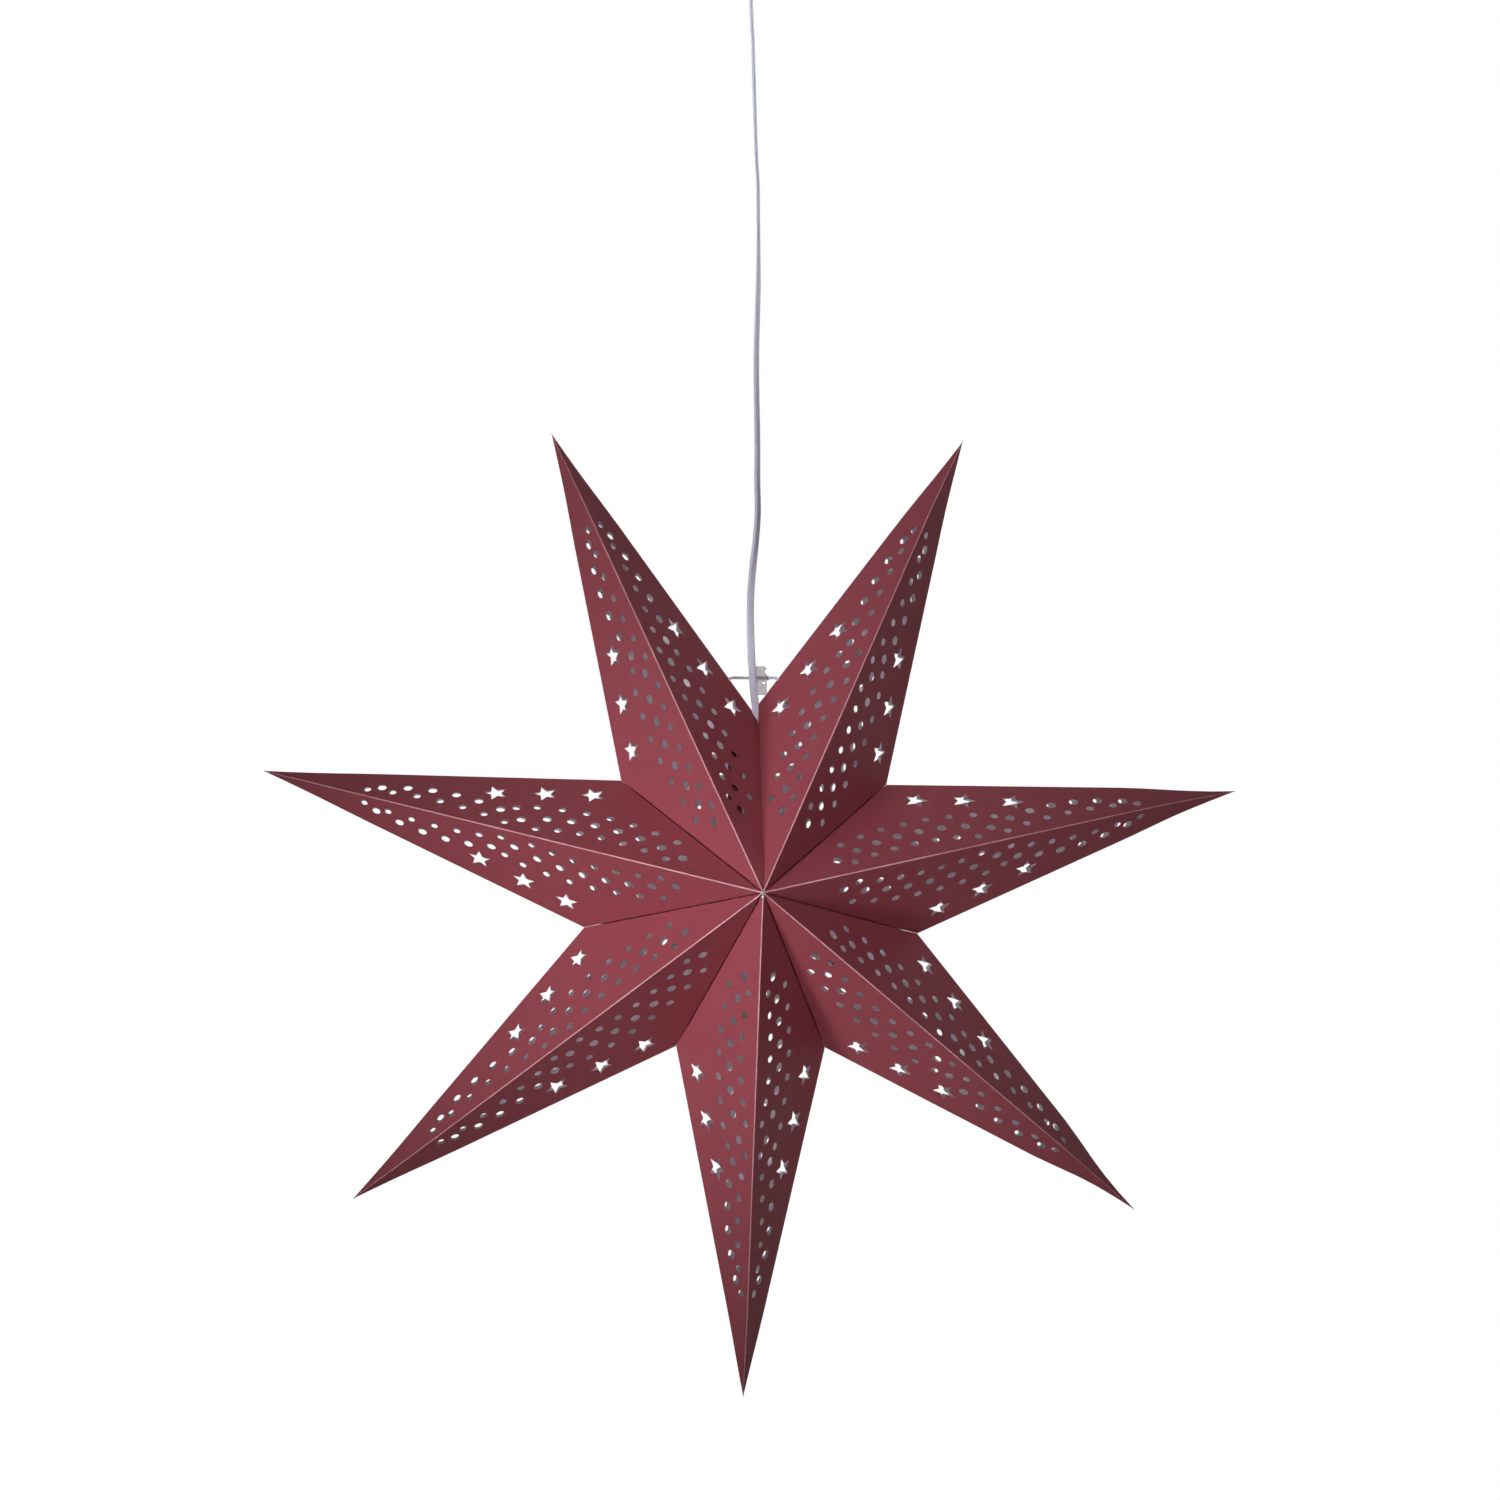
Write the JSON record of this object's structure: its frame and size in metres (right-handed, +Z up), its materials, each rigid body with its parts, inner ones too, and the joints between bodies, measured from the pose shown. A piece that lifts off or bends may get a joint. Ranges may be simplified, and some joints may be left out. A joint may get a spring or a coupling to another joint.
{
  "type": "paper star lantern",
  "caption": "Hanging star lantern of folded, punched card round a lampholder, on a cord from a ceiling cup; it swings and folds flat.",
  "frame": {"origin": "middle of the ceiling bracket's flat top face, on the ceiling", "axes": "+Z up to the ceiling, the star's front looks along -Y, +X to the right as seen from the front"},
  "size_m": [0.6306, 0.1942, 0.9649],
  "materials": {
    "card": "matte",
    "cord_pvc": "satin",
    "clear_plastic": "gloss",
    "white_plastic": "satin",
    "opal_glass": "frosted",
    "steel": "satin",
    "brass": "satin"
  },
  "bodies": {
    "ceiling": {"ceiling_bracket": "steel", "ceiling_cup": "white_plastic", "cup_screw_left": "steel", "cup_screw_right": "steel", "cord_grip": "white_plastic", "grip_nut": "white_plastic", "terminal_block": "white_plastic", "cord_tail": "cord_pvc"},
    "neck": {"cord_neck": "cord_pvc"},
    "pendant": {"cord": "cord_pvc", "cord_clip": "clear_plastic", "hanger_wire": "cord_pvc", "ray_1": "card", "holder_cap": "white_plastic", "holder_shell": "white_plastic", "holder_core": "white_plastic", "screw_sleeve": "brass", "contact_tongue": "brass"},
    "second_ray": {"ray_2": "card"},
    "third_ray": {"ray_3": "card"},
    "fourth_ray": {"ray_4": "card"},
    "fifth_ray": {"ray_5": "card"},
    "sixth_ray": {"ray_6": "card"},
    "seventh_ray": {"ray_7": "card"},
    "bulb_foot": {"bulb_contact": "steel"},
    "bulb": {"bulb_cap": "brass", "bulb_glass": "opal_glass"}
  },
  "joints": [
    {"name": "swing_front_back", "type": "hinge", "parent": "ceiling", "child": "neck", "pos_m": [0, 0, -0.045], "axis": [1, 0, 0], "range_deg": [-25, 25]},
    {"name": "swing_side", "type": "hinge", "parent": "neck", "child": "pendant", "pos_m": [0, 0, -0.051], "axis": [0, 1, 0], "range_deg": [-25, 25]},
    {"name": "star_fold", "type": "hinge", "parent": "pendant", "child": "second_ray", "pos_m": [0.0022, 0, -0.64], "axis": [0, 1, 0], "range_deg": [0, 300], "deforming": ["ray_1", "ray_2"]},
    {"name": "third_ray_turn", "type": "hinge", "parent": "pendant", "child": "third_ray", "pos_m": [0.0022, 0, -0.64], "axis": [0, 1, 0], "range_deg": [0, 250], "deforming": ["ray_3"]},
    {"name": "fourth_ray_turn", "type": "hinge", "parent": "pendant", "child": "fourth_ray", "pos_m": [0.0022, 0, -0.64], "axis": [0, 1, 0], "range_deg": [0, 200], "deforming": ["ray_4"]},
    {"name": "fifth_ray_turn", "type": "hinge", "parent": "pendant", "child": "fifth_ray", "pos_m": [0.0022, 0, -0.64], "axis": [0, 1, 0], "range_deg": [0, 150], "deforming": ["ray_5"]},
    {"name": "sixth_ray_turn", "type": "hinge", "parent": "pendant", "child": "sixth_ray", "pos_m": [0.0022, 0, -0.64], "axis": [0, 1, 0], "range_deg": [0, 100], "deforming": ["ray_6"]},
    {"name": "seventh_ray_turn", "type": "hinge", "parent": "pendant", "child": "seventh_ray", "pos_m": [0.0022, 0, -0.64], "axis": [0, 1, 0], "range_deg": [0, 50], "deforming": ["ray_7"]},
    {"name": "bulb_lower", "type": "slide", "parent": "pendant", "child": "bulb_foot", "axis": [0, 0, -1], "range_m": [0, 0.00848]},
    {"name": "bulb_turn", "type": "hinge", "parent": "bulb_foot", "child": "bulb", "pos_m": [0.0044, 0, -0.6], "axis": [0, 0, -1], "range_deg": [0, 1080]}
  ],
  "couplings": [
    {"joint": "third_ray_turn", "follows": "star_fold", "ratio": 0.8333},
    {"joint": "fourth_ray_turn", "follows": "star_fold", "ratio": 0.6666},
    {"joint": "fifth_ray_turn", "follows": "star_fold", "ratio": 0.5},
    {"joint": "sixth_ray_turn", "follows": "star_fold", "ratio": 0.3333},
    {"joint": "seventh_ray_turn", "follows": "star_fold", "ratio": 0.1666},
    {"joint": "bulb_turn", "follows": "bulb_lower", "rad_per_m": 2222.2}
  ]
}
